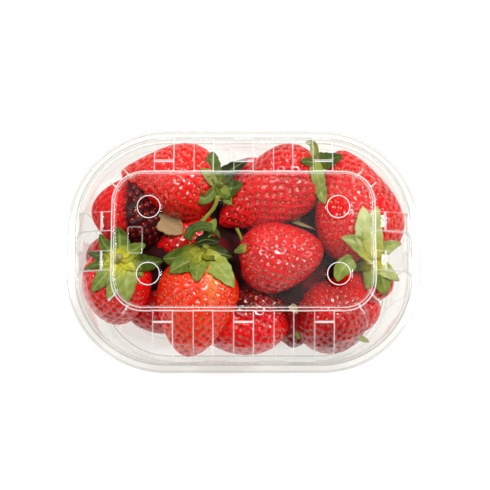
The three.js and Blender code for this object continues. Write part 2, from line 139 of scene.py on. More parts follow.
def along(outline, kind, place):
    """Distance along the outline from the middle of its long side."""
    a, b, r, z = outline
    whole = a - r + pi / 2 * r + b - r
    if kind == "long":
        return run(a, r, place)
    if kind == "short":
        return whole - run(b, r, place)
    start_x, end_y, share, offset = place
    start = run(a, r, start_x)
    return start + (whole - run(b, r, end_y) - start) * share + offset


def ring_points(outline, stations, relief):
    """The outline's points all the way round, anticlockwise from +X. relief gives (out, up)."""
    quarter = []
    for kind, place, level, bend in stations:
        out, up = relief(level)
        shifted = outline + np.array([out, out, out, up])
        x, y = quarter_point(shifted, along(shifted, kind, place))
        quarter.append((x, y, shifted[3]))
    quarter = np.array(quarter)
    turns = [(quarter[::-1], 1, 1), (quarter, -1, 1), (quarter[::-1], -1, -1), (quarter, 1, -1)]
    return np.concatenate([part * np.array([sx, sy, 1]) for part, sx, sy in turns])


def stands(relief, level):
    """Whether a panel of this level differs here from the sheet beside it."""
    return np.abs(np.subtract(relief(level), relief(0 * level))).max() > 0.2


def bends(stations, profile):
    """Each ring's bends, point by point: up to 1, painted white as highlight, or down to -1, clear but
    painted grey as shade on edge.
    """
    rows = []
    for outline, relief, radius, seam in profile:
        panels = np.array([bend if stands(relief, level) else 0.0 for k, place, level, bend in stations])
        edge = np.array([seam(level) if callable(seam) else seam for k, place, level, bend in stations])
        for share in ((0.0, 0.6, 1.0, 0.6, 0.0) if radius else (0.0,)):
            bent = np.where(edge < 0, share * edge, np.maximum(panels, share * edge))
            rows.append(np.concatenate([bent[::-1], bent, bent[::-1], bent]))
    return rows


def rounded(rings, radii):
    """Rings with each inner one replaced by five on a small curve, as heat forming leaves an edge."""
    soft = [rings[0]]
    for i in range(1, len(rings) - 1):
        here, before, after = rings[i], rings[i - 1], rings[i + 1]
        ends = []
        for other in (before, after):
            reach = np.linalg.norm(other - here, axis=1, keepdims=True)
            share = np.minimum(radii[i] / np.maximum(reach, 1e-6), 0.45)
            ends.append(here + (other - here) * share)
        for t in (0.0, 0.25, 0.5, 0.75, 1.0):
            soft.append(ends[0] * (1 - t) ** 2 + here * 2 * t * (1 - t) + ends[1] * t ** 2)
    soft.append(rings[-1])
    return soft


def add_rings(bm, rings, flip, creases):
    """Quads between rings of equally many points, given from the middle out. Returns the vertices."""
    tight = bm.verts.layers.float.get("crease")
    rows = []
    for points, bent in zip(rings, creases):
        rows.append([bm.verts.new(p * MM) for p in points])
        for vertex, crease in zip(rows[-1], bent):
            vertex[tight] = crease
    count = len(rows[0])
    for inner, outer in zip(rows, rows[1:]):
        for j in range(count):
            k = (j + 1) % count
            quad = [inner[j], outer[j], outer[k], inner[k]]
            bm.faces.new(quad[::-1] if flip else quad)
    return rows


def add_holed_flat(bm, border, z, hole_profile, flip):
    """A flat floor inside border with four round holes, in steps of radius, rise and bend."""
    loops = [border]
    turn = np.linspace(0, 2 * pi, HOLE_POINTS, endpoint=False)
    circle = np.stack([np.cos(turn), np.sin(turn), 0 * turn], 1)
    around = [np.full(HOLE_POINTS, bend) for radius, rise, bend in hole_profile]
    for x in (-HOLE_X, HOLE_X):
        for y in (-HOLE_Y, HOLE_Y):
            steps = [circle * radius + (x, y, z + rise) for radius, rise, bend in hole_profile]
            loops.append(add_rings(bm, steps[::-1], flip, around[::-1])[-1])
    edges = []
    for loop in loops:
        for a, b in zip(loop, loop[1:] + loop[:1]):
            edges.append(bm.edges.get((a, b)) or bm.edges.new((a, b)))
    filled = bmesh.ops.triangle_fill(bm, use_beauty=True, edges=edges)
    for item in filled["geom"]:
        if isinstance(item, bmesh.types.BMFace) and (item.normal.z < 0) != flip:
            item.normal_flip()


def new_sheet():
    bm = bmesh.new()
    bm.verts.layers.float.new("crease")
    return bm


def formed_sheet(stations, profile, z, hole_profile, flip):
    """A sheet from its holed middle, at height z, out through the rings of its profile: outline, the
    panels' relief on it, its edge's radius and how it bends."""
    bm = new_sheet()
    outlines, reliefs, radii, _ = zip(*profile)
    rings = [ring_points(outline, stations, relief) for outline, relief in zip(outlines, reliefs)]
    rows = add_rings(bm, rounded(rings, radii), flip, bends(stations, profile))
    add_holed_flat(bm, rows[0], z, hole_profile, flip)
    return bm


def add_object(name, data):
    made = bpy.data.objects.new(name, data)
    bpy.context.collection.objects.link(made)
    return made


def add_piece(name, mesh, material, node):
    """Makes a mesh a visible piece, in place of one of the CAD nodes."""
    mesh.shade_smooth()
    mesh.materials.append(material)
    piece = add_object(name, mesh)
    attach(piece, "root")
    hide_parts(node)
    return piece


def sheet_piece(name, bm, material, node, thickness):
    """A formed sheet as a piece, with its thickness given inwards."""
    mesh = bpy.data.meshes.new(name)
    bm.to_mesh(mesh)
    bm.free()
    piece = add_piece(name, mesh, material, node)
    if thickness:
        thick = piece.modifiers.new("sheet", "SOLIDIFY")
        thick.thickness = thickness * MM
        thick.offset = -1.0


def linear(hex_colour):
    """An sRGB hex colour as linear RGBA."""
    parts = [int(hex_colour[i:i + 2], 16) / 255 for i in (1, 3, 5)]
    return tuple(c / 12.92 if c <= 0.04045 else ((c + 0.055) / 1.055) ** 2.4 for c in parts) + (1.0,)


def node_adder(tree):
    """A function that adds a node with its settings to the tree. Its inputs give sockets a value,
    an sRGB hex colour, or the output or node they link to. A node stands for its first output."""
    tree.nodes.clear()

    def add(kind, inputs=None, **settings):
        node = tree.nodes.new("ShaderNode" + kind)
        for key, value in settings.items():
            setattr(node, key, value)
        for key, value in (inputs or {}).items():
            if isinstance(value, str):
                value = linear(value)
            if isinstance(value, bpy.types.Node):
                value = next(output for output in value.outputs if output.enabled)
            if isinstance(value, bpy.types.NodeSocket):
                tree.links.new(value, node.inputs[key])
            else:
                node.inputs[key].default_value = value
        return node

    return add


def new_material(name):
    material = bpy.data.materials.new(name)
    material.use_nodes = True
    return material, node_adder(material.node_tree)


def clear_sheet(name, tint, edge_tint, gloss, painted_crease_white):
    """Clear formed PET: what is behind shows straight through, a little greyer where the sheet is
    seen on edge, under a clean, slightly wavy gloss. Its creases are painted white as highlight, and
    its outer edges painted grey as shade, for the bright and dark edge lines. Light that falls
    through it keeps its strength."""
    material, add = new_material(name)
    place = add("TexCoord").outputs["Object"]
    waviness = add("TexNoise", {"Vector": place, "Scale": 1 / (9 * MM)})
    bump = add("Bump", {"Height": waviness, "Distance": 0.25 * MM, "Strength": 0.18})
    edge = add("LayerWeight", {"Blend": 0.35}).outputs["Facing"]
    tinted = add("Mix", {"Factor": edge, 6: tint, 7: edge_tint}, data_type="RGBA")
    crease = add("Attribute", attribute_name="crease").outputs["Fac"]
    # Painted shade: the sheet's outer edges let less through, grey, as dark edge lines.
    edge_shade_share = add("Math", {0: crease, 1: -1.0}, operation="MULTIPLY", use_clamp=True)
    edge_painted_shade = add("Mix", {"Factor": edge_shade_share, 6: tinted, 7: "#a9a9a3"}, data_type="RGBA")
    through = add("BsdfTransparent", {"Color": edge_painted_shade})
    mirror = add("BsdfGlossy", {"Color": "#ffffff", "Roughness": 0.05, "Normal": bump})
    back = add("NewGeometry").outputs["Backfacing"]
    from_inside = add("Math", {0: back, 1: 1 / gloss - gloss, 2: gloss}, operation="MULTIPLY_ADD")
    share = add("Fresnel", {"IOR": from_inside, "Normal": bump})
    both = add("MixShader", {0: share, 1: through, 2: mirror})
    # Painted highlight: tight bends are mixed with white, as bright edge lines.
    highlight_share = add("Math", {0: crease, 1: painted_crease_white}, operation="MULTIPLY", use_clamp=True)
    white = add("BsdfDiffuse", {"Color": "#ffffff"})
    with_painted_highlight = add("MixShader", {0: highlight_share, 1: both, 2: white})
    ray = add("LightPath").outputs
    lighting = add("Math", {0: ray["Is Shadow Ray"], 1: ray["Is Diffuse Ray"]}, operation="MAXIMUM")
    passed = add("BsdfTransparent", {"Color": "#fefefe"})
    surface = add("MixShader", {0: lighting, 1: with_painted_highlight, 2: passed})
    add("OutputMaterial", {"Surface": surface})
    return material


rim = ring(190.0, 134.0, RIM_CORNER, RIM_Z)
foot = ring(157.0, 101.0, 38.0, 0.0)
tray_rim = inset(rim, 1.4, TRAY_RIM_Z - RIM_Z)
mouth = inset(rim, 6.4, TRAY_RIM_Z - 3.4 - RIM_Z)


def wall_ring(z):
    low = inset(foot, -2.0)
    share = (z - FOOT_Z) / (mouth[3] - FOOT_Z)
    mixed = low + (mouth - low) * share
    mixed[3] = z
    return mixed


def flat(level):
    return 0.0, 0.0


def outward(level):
    return level[0], 0.0


tray_levels = [(TRAY_RIB_OUT,), (0.0,)]
tray_stations = quarter_stations((5, 3, 16.0), 0.4, tray_levels, None, 12)
tray_profile = [
    (inset(foot, STANDING_RING + DISH_SLOPE + 1.0, BASE_DISH), flat, 0, 0),
    (inset(foot, STANDING_RING + DISH_SLOPE, BASE_DISH), flat, 0.4, 0.6),
    (inset(foot, STANDING_RING), flat, 0.8, 0.4),
    (foot, flat, 0.8, -0.4),
    (wall_ring(FOOT_Z), flat, 1.0, -0.2),
    (wall_ring(RIB_START), flat, 1.0, 0.0),
    (wall_ring(RIB_LOW), outward, 0.8, 0.4),
    (wall_ring(RIB_HIGH), outward, 0.8, 0.4),
    (wall_ring(RIB_END), flat, 0.8, 0.0),
    (mouth, flat, 0.5, -0.4),
    (inset(mouth, -1.2, 1.2), flat, 0.4, 0.2),
    (inset(tray_rim, RIM_FLANGE - 0.6, 0.0), flat, 0.4, -0.3),
    (tray_rim, flat, 0.4, -0.4),
    (inset(tray_rim, 0, -TRAY_LIP), flat, 0, -0.2),
]
# Each hole's rim, where it bends, is painted white as highlight.
drain = [(7.6, 0, 0), (7.0, 0, 0), (6.5, 0.05, 0.7), (6.1, 0.3, 1), (HOLE_RADIUS, 0.5, 1)]
tray_sheet = formed_sheet(tray_stations, tray_profile, BASE_DISH, drain, True)
# Its last number sets how white its creases are painted as highlight.
tray_plastic = clear_sheet("clear_pet_tray", "#fcfcfb", "#fbfcfa", 1.36, 0.3)
sheet_piece("tray_sheet", tray_sheet, tray_plastic, "tray", SHEET)

# ---- Strawberries ----
# Ripe whole berries: smooth, juicy red skin that bulges between small pits, each pit holding one
# yellow seed, which sit in spirals round the fruit. The skin gets paler and more orange towards
# the leaves, and deep crimson on the ripest fruit. Painted shade darkens the pits and the shaded
# parts of some berries. They lie as packed by hand, crowns any way.

# Each berry: its crown and tip (x, y, z) and its width in mm, how much narrower it is towards the
# tip, how ripe from 0, orange-red, to 1, crimson, above which it is painted shade, and the length
# of its pale shoulder.
UPPER = {
    "back_left": ((-14, 35, 50), (-67, 44, 41), 42, 0.55, 0.45, 0),
    # Its ripeness of 1.15, near-black crimson, is painted shade over its right part.
    "far_left": ((-69, 6, 35), (-50, 44, 36), 43, 0.35, 1.15, 0),
    "back_middle": ((41, 49, 48), (-13, 15, 44), 40, 0.45, 0.62, 0),
    "right": ((69, -6, 46.5), (52, 57, 39.5), 47.5, 0.42, 0.58, 12),
    "front_left": ((-68, -8, 57), (-69, -31, 12), 38, 0.3, 0.5, 5),
    "front_middle_left": ((-20.5, -6, 54), (-31, -54.5, 27), 43, 0.3, 0.15, 16),
    "middle_right": ((-3, -8, 48), (43, 0, 49), 38, 0.25, 0.65, 0),
    # Its dark back is painted shade where the middle-right berry shades it; its front is set lighter.
    "front_middle": ((25, -33, 31), (-26, -37, 26), 38, 0.15, 0.95, 0),
    "front_right": ((47.5, -28, 7), (48.5, -37, 53), 42, 0.25, 0.75, 0),
}
# streak: the side that has a pale streak. The other entry is painted shade over part of a berry:
# the axis, the two places on it between which the berry gets as dark as its ripeness given, and how
# much lighter, less ripe, it is before them.
SPECIAL = {
    # Painted shade: the far-left berry's right part and the front middle berry's back are painted darker.
    "far_left": dict(painted_dark_part=(0, -67, -60, 0.66)),
    "front_middle_left": dict(streak=(0.4, -0.1, 1.0)),
    "front_middle": dict(painted_dark_part=(1, -41, -31, 0.46)),
}
# The lower ones: crown, tip, width and ripeness.
LOWER = [
    ((56, -7, 24), (81, -18, 33), 31, 0.5), ((-32, -22, 20), (-64, -30, 19), 32, 0.6),
    ((-12, 8, 28), (-56, 13, 25), 36, 0.5), ((20, 41, 27), (-20, 41, 28), 30, 0.6),
    ((-64, 36, 22), (-30, 38, 20), 34, 0.8), ((68, 12, 18), (44, 38, 20), 36, 0.7),
    ((12, 6, 20), (46, 10, 19), 34, 0.9), ((-79, 14, 24), (-62, -8, 17), 30, 0.7),
    ((-16, -20, 22), (-24, -46, 13), 28, 0.6), ((26, -16, 22), (28, -48, 14), 28, 0.9),
    ((-52, 4, 17), (-16, 0, 16), 30, 0.8), ((-8, -4, 16), (27, -9, 17), 30, 0.6),
    ((30, -6, 16), (64, -2, 17), 29, 0.8), ((18, 14, 17), (-20, 18, 17), 30, 0.7),
    ((64, -16, 18), (58, -42, 16), 28, 0.6),
]
LOWER_TAPER = 0.3
UPPER_PITCH = 0.7
LOWER_PITCH = 1.15
SEED_SPACING = 4.8
SEED_PACKING = 0.87
PIT_RADIUS = 2.35
PIT_DEPTH = 1.2
CROWN_HOLLOW = 1.6


def skin_radius(berry, x):
    """The berry's radius at x, from -1 at the tip to 1 at the crown."""
    taper = berry["taper"]
    fullest = (sqrt(1 + 8 * taper * taper) - 1) / (4 * taper)
    full = sqrt(1 - fullest * fullest) * (1 + taper * fullest)
    return berry["width"] / 2 * np.sqrt(np.maximum(0.0, 1 - x * x)) * (1 + taper * x) / full


def skin(berry, theta, v):
    """Points of the smooth skin, in the berry's own axes. v runs from 0 at the tip to pi."""
    x = -np.cos(v)
    radius = skin_radius(berry, x)
    rise = x * berry["length"] / 2
    hollow = CROWN_HOLLOW * np.exp(-(radius / 5.0) ** 2) * (x > 0)
    uneven = 1.0
    for waves, turns, phase, size in berry["lumps"]:
        bulge = np.sin(waves * theta + phase) * np.sin(turns * v + phase * 1.7)
        uneven = uneven + size * bulge * np.sin(v)
    return np.stack([radius * uneven * np.cos(theta), radius * uneven * np.sin(theta), rise - hollow], -1)


def unit(vectors):
    return vectors / np.maximum(np.linalg.norm(vectors, axis=-1, keepdims=True), 1e-12)


def skin_normal(berry, theta, v):
    step = 1e-3
    across = skin(berry, theta + step, v) - skin(berry, theta - step, v)
    down = skin(berry, theta, v + step) - skin(berry, theta, v - step)
    return unit(np.cross(across, down))


def meridian(berry):
    """The skin from tip to crown: 400 angles, and the steps between them in mm."""
    v = np.linspace(0.0, pi, 400)
    return v, np.linalg.norm(np.diff(skin(berry, 0 * v, v), axis=0), axis=1)


def grown(seed, crown, tip, width, taper, ripe, pale, **special):
    """A berry with its axes in the heap, its slight unevenness and its seeds' places in a spiral."""
    draw = random.Random(seed)
    lumps = [(waves, draw.choice((1, 2, 3)), draw.uniform(0, 6.28), draw.uniform(0.008, 0.024))
             for waves in (1, 2, 2, 3, 4)]
    crown = Vector(crown)
    tip = Vector(tip)
    rotation = Vector((0, 0, 1)).rotation_difference((crown - tip).normalized()).to_matrix()
    berry = dict(special, seed=seed, width=width, taper=taper, ripe=ripe, pale=pale, lumps=lumps,
                 length=(crown - tip).length, middle=np.array((crown + tip) / 2),
                 rotation=np.array(rotation))
    v, steps = meridian(berry)
    radius = skin_radius(berry, -np.cos((v[1:] + v[:-1]) / 2))
    area = np.concatenate([[0], np.cumsum(2 * pi * radius * steps)])
    count = int(area[-1] / (SEED_SPACING ** 2 * SEED_PACKING))
    k = np.arange(count) + 0.5
    noise_draw = np.random.default_rng(seed)
    seed_theta = k * pi * (3 - sqrt(5)) + seed + noise_draw.normal(0, 0.025, count)
    seed_v = np.interp(k / count * area[-1], area, v) + noise_draw.normal(0, 0.012, count)
    kept = (skin_radius(berry, -np.cos(seed_v)) > 4.0) | (seed_v < pi / 2)
    berry["seed_theta"] = seed_theta[kept]
    berry["seed_v"] = np.clip(seed_v[kept], 0.06, pi - 0.06)
    return berry


def in_place(berry, points):
    return (points @ berry["rotation"].T + berry["middle"]) * MM


def nearest(points, others):
    """Distance from each point to the nearest of the others, worked out in batches."""
    found = np.empty(len(points))
    for start in range(0, len(points), 2000):
        part = points[start:start + 2000]
        gap = ((part[:, None, :] - others[None, :, :]) ** 2).sum(-1)
        found[start:start + 2000] = np.sqrt(gap.min(1))
    return found


def tube_faces(rows, around):
    """Quads between closed rows of points."""
    starts = range(0, (rows - 1) * around, around)
    edges = [(i + j, i + (j + 1) % around) for i in starts for j in range(around)]
    return [(a, b, b + around, a + around) for a, b in edges]


def berry_skin(berry, pitch):
    """Vertices, faces and the pit, pale and ripeness shares of one berry's skin; the ripeness share
    also carries painted shade.
    """
    v, steps = meridian(berry)
    length = np.concatenate([[0], np.cumsum(steps)])
    rows = int(length[-1] / pitch)
    around = int(pi * berry["width"] / pitch)
    row_v = np.interp(np.linspace(0, length[-1], rows + 2)[1:-1], length, v)
    theta = np.linspace(0, 2 * pi, around, endpoint=False)
    grid_v, grid_theta = [a.ravel() for a in np.meshgrid(row_v, theta, indexing="ij")]
    grid_v = np.concatenate([grid_v, [1e-3, pi - 1e-3]])
    grid_theta = np.concatenate([grid_theta, [0, 0]])
    points = skin(berry, grid_theta, grid_v)
    normals = skin_normal(berry, grid_theta, grid_v)
    normals[-2:] = [[0, 0, -1], [0, 0, 1]]
    seeds = skin(berry, berry["seed_theta"], berry["seed_v"])
    pit = np.clip(1 - nearest(points, seeds) / PIT_RADIUS, 0, 1)
    pit = pit * pit * (3 - 2 * pit)
    points = points - normals * (PIT_DEPTH * pit)[:, None]
    from_crown = np.interp(grid_v, v, length[-1] - length)
    pale = np.clip(1 - from_crown / berry["pale"], 0, 1) if berry["pale"] else 0 * grid_v
    side = 0.5 + 0.5 * np.cos(grid_theta - berry["seed"])
    pale = np.clip(pale * (0.35 + 0.9 * side), 0, 1)
    if "streak" in berry:
        toward = np.array(berry["streak"]) @ berry["rotation"]
        off = np.angle(np.exp(1j * (grid_theta - atan2(toward[1], toward[0]))))
        pale = np.maximum(pale, np.exp(-(off / 0.24) ** 2) * np.clip(1.3 - from_crown / 28, 0, 1))
    placed = in_place(berry, points)
    ripe = np.full(len(pit), berry["ripe"])
    # Painted shade: the colour is made darker from one place to another along an axis, where shade falls.
    if "painted_dark_part" in berry:
        axis, start, end, less = berry["painted_dark_part"]
        ripe -= less * (1 - np.interp(placed[:, axis] / MM, (start, end), (0, 1)))
    faces = tube_faces(rows, around)
    tip_point = rows * around
    last_row = tip_point - around
    for j in range(around):
        k = (j + 1) % around
        faces += [(tip_point, k, j), (tip_point + 1, last_row + j, last_row + k)]
    return placed, faces, {"pit": pit, "pale": pale, "ripe": ripe}


def mesh_piece(name, parts, material):
    """One piece of the heap from parts of vertices, faces and attributes, stored per vertex."""
    vertices, faces, attributes = zip(*parts)
    counts = [len(points) for points in vertices]
    starts = np.cumsum([0] + counts)
    made = [tuple(i + start for i in face) for part, start in zip(faces, starts) for face in part]
    mesh = bpy.data.meshes.new(name)
    mesh.from_pydata(np.concatenate(vertices).tolist(), [], made)
    for key in attributes[0]:
        values = [np.broadcast_to(each[key], count) for each, count in zip(attributes, counts)]
        stored = mesh.attributes.new(key, "FLOAT", "POINT").data
        stored.foreach_set("value", np.concatenate(values).astype(np.float32))
    add_piece(name, mesh, material, "berries")


def fill_ramp(node, stops):
    """Gives a colour ramp its stops, each a place from 0 to 1 and an sRGB hex colour or a grey."""
    elements = node.color_ramp.elements
    for place, colour in stops[1:-1]:
        elements.new(place)
    for element, (place, colour) in zip(elements, stops):
        element.position = place
        element.color = linear(colour) if isinstance(colour, str) else (colour, colour, colour, 1.0)


def strawberry_skin(name, roughness, shine):
    """Ripe strawberry skin: wet-looking, mottled red, painted darker in the pits as shade, paler at
    the shoulder, and painted near-black crimson as shade at its darkest.
    """
    material, add = new_material(name)
    pit, pale, ripe = [add("Attribute", attribute_name=key).outputs["Fac"]
                       for key in ("pit", "pale", "ripe")]
    place = add("TexCoord").outputs["Object"]
    mottle = add("TexNoise", {"Vector": place, "Scale": 1 / (14 * MM), "Detail": 3.0})
    uneven = add("Math", {0: mottle, 1: 0.45, 2: -0.225}, operation="MULTIPLY_ADD")
    shade = add("Math", {0: ripe, 1: uneven}, operation="ADD", use_clamp=True)
    colour = add("ValToRGB", {"Fac": shade})
    # The last stop, near-black crimson, is painted shade; the far-left berry's shaded part and the heap's
    # core reach it.
    fill_ramp(colour, [(0.0, "#f33c0c"), (0.3, "#f0140a"), (0.6, "#dc0811"),
                       (0.86, "#90060f"), (1.0, "#2c0206")])
    # Painted shade: the skin is darkened in its pits.
    pit_painted_shade = add("Math", {0: pit, 1: 0.62}, operation="MULTIPLY")
    for share, over in ((pale, "#fa9c4e"), (pit_painted_shade, "#8e060b")):
        colour = add("Mix", {"Factor": share, 6: colour, 7: over}, data_type="RGBA")
    pores = add("TexNoise", {"Vector": place, "Scale": 1 / (0.9 * MM)})
    bump = add("Bump", {"Height": pores, "Distance": 0.012 * MM, "Strength": 0.5})
    surface = add("BsdfPrincipled", {"Base Color": colour, "Roughness": roughness, "IOR": 1.48,
                                     "Specular IOR Level": shine, "Normal": bump})
    add("OutputMaterial", {"Surface": surface})
    return material


skin_material = strawberry_skin("strawberry_skin", 0.07, 0.85)
# A duller skin for the far-left berry, whose right part is painted near-black crimson as shade.
dull_material = strawberry_skin("dull_strawberry_skin", 0.4, 0.15)
upper_berries = {name: grown(number + 3, *berry, **SPECIAL.get(name, {}))
                 for number, (name, berry) in enumerate(UPPER.items())}
for name, berry in upper_berries.items():
    cover = dull_material if name == "far_left" else skin_material
    mesh_piece("strawberry_" + name, [berry_skin(berry, UPPER_PITCH)], cover)
lower_berries = [grown(number + 40, crown, tip, width, LOWER_TAPER, ripe, 0)
                 for number, (crown, tip, width, ripe) in enumerate(LOWER)]
mesh_piece("strawberries_below", [berry_skin(berry, LOWER_PITCH) for berry in lower_berries],
           skin_material)

# ---- Seeds ----
# The dry yellow achenes: small flattened drops about 1.5 mm long, pointed towards the berry's
# tip, which sit loose-looking in their pits. Smooth and slightly shiny, gold to brownish red.

SEED_LENGTH = 1.35
SEED_WIDTH = 0.8
SEED_HEIGHT = 0.55
SEED_POINTS = 20
SEED_SUNK = PIT_DEPTH - 0.16


def seed_shape():
    """One seed along +X, its point at +X: rings of six round a drop's outline, and its two ends."""
    points = []
    for x, wide in ((-0.42, 0.62), (-0.12, 1.0), (0.22, 0.72)):
        for k in range(6):
            turn = pi / 3 * k
            points.append((x * SEED_LENGTH, wide * SEED_WIDTH / 2 * cos(turn),
                           wide * SEED_HEIGHT / 2 * sin(turn)))
    points += [(-0.5 * SEED_LENGTH, 0, 0), (0.5 * SEED_LENGTH, 0, 0)]
    faces = []
    for k in range(6):
        n = (k + 1) % 6
        faces.append((18, n, k))
        faces.append((19, 12 + k, 12 + n))
        for row in (0, 6):
            faces.append((row + k, row + n, row + 6 + n, row + 6 + k))
    return np.array(points), faces


def seeds_of(berry):
    """All seeds of one berry as one part, each turned to its own place on the skin."""
    shape, faces = seed_shape()
    theta, v = berry["seed_theta"], berry["seed_v"]
    normal = skin_normal(berry, theta, v)
    at = skin(berry, theta, v) - normal * SEED_SUNK
    towards_tip = unit(skin(berry, theta, v - 0.02) - skin(berry, theta, v + 0.02))
    draw = np.random.default_rng(berry["seed"] + 500)
    size = draw.uniform(0.85, 1.1, len(theta))
    places = at[:, None, :]
    for k, way in enumerate((towards_tip, np.cross(normal, towards_tip), normal)):
        places = places + way[:, None, :] * (shape[None, :, k] * size[:, None])[..., None]
    made = [tuple(SEED_POINTS * i + j for j in face) for i in range(len(theta)) for face in faces]
    # The berry's ripeness sets this, its painted shade included, so the far-left berry's seeds are
    # painted dark too.
    gold = np.clip(draw.normal(1.15 - 1.05 * berry["ripe"], 0.18, len(theta)), 0, 1)
    return in_place(berry, places.reshape(-1, 3)), made, {"gold": np.repeat(gold, SEED_POINTS)}


def seed_husk():
    """Dry achene husk: gold on lighter fruit, reddish brown on the ripest, with a slight sheen."""
    material, add = new_material("achene_husk")
    gold = add("Attribute", attribute_name="gold").outputs["Fac"]
    place = add("TexCoord").outputs["Object"]
    grain = add("TexNoise", {"Vector": place, "Scale": 1 / (0.6 * MM)})
    tone = add("Math", {0: grain, 1: 0.4, 2: gold}, operation="MULTIPLY_ADD", use_clamp=True)
    husk = add("Mix", {"Factor": tone, 6: "#8a1a14", 7: "#f0b83c"}, data_type="RGBA")
    surface = add("BsdfPrincipled", {"Base Color": husk, "Roughness": 0.35, "IOR": 1.45})
    add("OutputMaterial", {"Surface": surface})
    return material


husk_material = seed_husk()
mesh_piece("seeds_upper", [seeds_of(berry) for berry in upper_berries.values()], husk_material)
mesh_piece("seeds_lower", [seeds_of(berry) for berry in lower_berries], husk_material)

# ---- Leaf crowns ----
# The green calyx: five to ten thin, soft, pointed sepals with a paler midrib round a yellow-green
# hub, laid over the fruit's shoulder or curled up where they dried. Dry bits lie between the fruit.

# For each berry: its hub (x, y, z) in mm, how yellow it is round that, its sepals (tip x and y, width,
# lift of the tip as a share of the length, rise of the edges, tone from 0, dark, to 1, pale), its
# curled leaves (points of the midrib, width, lean in degrees, tone), and its stalk (points, radius,
# tone, dryness).
CROWNS = {
    "back_left": ((-15.2, 33.7, 58), 0.1, [
        (-22.5, 40, 5.5, 0.1, 0.2, 0.75), (-6.7, 22.9, 6.5, 0.12, 0.2, 0.6),
        (-0.6, 33.6, 11.5, 0.1, 0.15, 0.36), (-16.4, 53.4, 8.5, 0.05, 0.2, 0.34),
        (2.4, 51.7, 8, 0.12, 0.4, 0.05),
    ], [
        ([(-15.8, 30.4, 58), (-20, 24.4, 60), (-24, 25.8, 61), (-24.8, 31.4, 62.5),
          (-22.1, 36.1, 63.5), (-17.4, 37.1, 62)], 5.6, 35, 0.45),
    ], ([(-13.7, 27.3, 58), (-15.3, 21.7, 55), (-19.6, 17.5, 52), (-23.9, 13.2, 49)], 1.1, 0.55, 0.15)),
    "back_middle": ((38.2, 45.3, 56), 0.1, [
        (53.4, 51.2, 9, 0.1, 0.2, 0.22), (43.5, 22.4, 7, 0.03, 0.15, 0.6),
        (30.3, 44.5, 5, 0.05, 0.1, 0.3),
    ], [
        ([(38.4, 46.4, 58), (38.9, 51.7, 59), (38, 56, 58.5), (33.2, 57.5, 57)], 5, 40, 0.75),
        ([(40.2, 32.4, 50), (39.1, 28.5, 50), (40.7, 24.6, 50), (42.8, 27.1, 51)], 1.8, 40, 0.9),
    ], ([(38, 45, 56), (39, 46.5, 60)], 1.4, 0.3, 0.7)),
    "right": ((69.6, -6.4, 52), 0.7, [
        (63, 18.4, 11, 0.12, 0.1, 0.97), (70.6, 18.6, 10, 0.12, 0.1, 0.93),
        (51.8, 3.4, 7.5, 0.08, 0.25, 0.75), (84.7, 3.2, 6.5, 0.1, 0.25, 0.8),
        (55, -8, 8, 0.1, 0.4, 0.4), (66.5, -20.5, 8, 0.05, 0.2, 0.7),
        (76.5, -23.4, 11.5, 0.05, 0.2, 0.55), (83.8, -15.6, 7.5, 0.08, 0.2, 0.85),
    ], [
        ([(59, -8, 55), (55, -9.8, 56), (51.2, -13.6, 55.5), (50.3, -18.6, 53)], 8.5, 10, 0.62),
    ], ([(67, -7.8, 52), (67.5, -9, 55)], 1.3, 0.9, 0.2)),
    "front_left": ((-66, -7.4, 60), 0.78, [
        (-66.8, 11, 11, 0.1, 0.15, 0.5), (-52.8, 2.6, 8, 0.15, 0.4, 0.45),
        (-43.2, -5.4, 10.5, 0.04, 0.2, 0.2), (-53.4, -16, 7, 0.03, 0.2, 0.62),
        (-61.8, -30.2, 12, 0.02, 0.15, 0.7), (-71.8, -29.6, 8.5, 0.03, 0.15, 0.66),
        (-80.6, -24.8, 9.5, 0.05, 0.2, 0.6), (-85.3, -12.2, 5, 0.05, 0.2, 0.35),
        (-84, -1, 6, 0.05, 0.25, 0.2), (-77.5, 8.8, 7.5, 0.05, 0.25, 0.4),
    ], [], ([(-66, -7.8, 59), (-65.4, -7.2, 63)], 1.5, 0.9, 0.45)),
    "front_middle_left": ((-21.6, -4.2, 59), 0.35, [
        (-43.6, -4.2, 12.5, 0.06, 0.2, 0.35), (-39.4, -15, 12, 0.03, 0.2, 0.4),
        (-24.8, -21.4, 9, 0.02, 0.15, 0.5), (-4.9, -22.6, 11.5, 0.09, 0.15, 0.7),
        (-5.8, -4.6, 8, 0.2, 0.5, 0.15),
    ], [
        ([(-29.5, 2.6, 60), (-27.5, 7.2, 62), (-21.8, 9, 63.5), (-16.2, 7.6, 63),
          (-12.2, 3.6, 60)], 6.5, 35, 0.22),
        ([(-19.8, 4.8, 60), (-16.6, 9.1, 62), (-14.8, 13.4, 63)], 5.5, 20, 0.6),
        ([(-25, 1.1, 59), (-19.9, 3.4, 60), (-13, 1.4, 59)], 6, -30, 0),
    ], ([(-21, -3, 58), (-20, -1, 61.5)], 1.4, 0.5, 0.1)),
    "middle_right": ((1.3, -2.3, 51), 0.3, [
        (-4.8, -2.6, 4.6, 0.02, 0.2, 0.6),
    ], [], ([(0.3, 0.4, 51), (-1.3, 6.4, 50), (-3.5, 11.5, 47)], 0.8, 0.35, 0.2)),
}
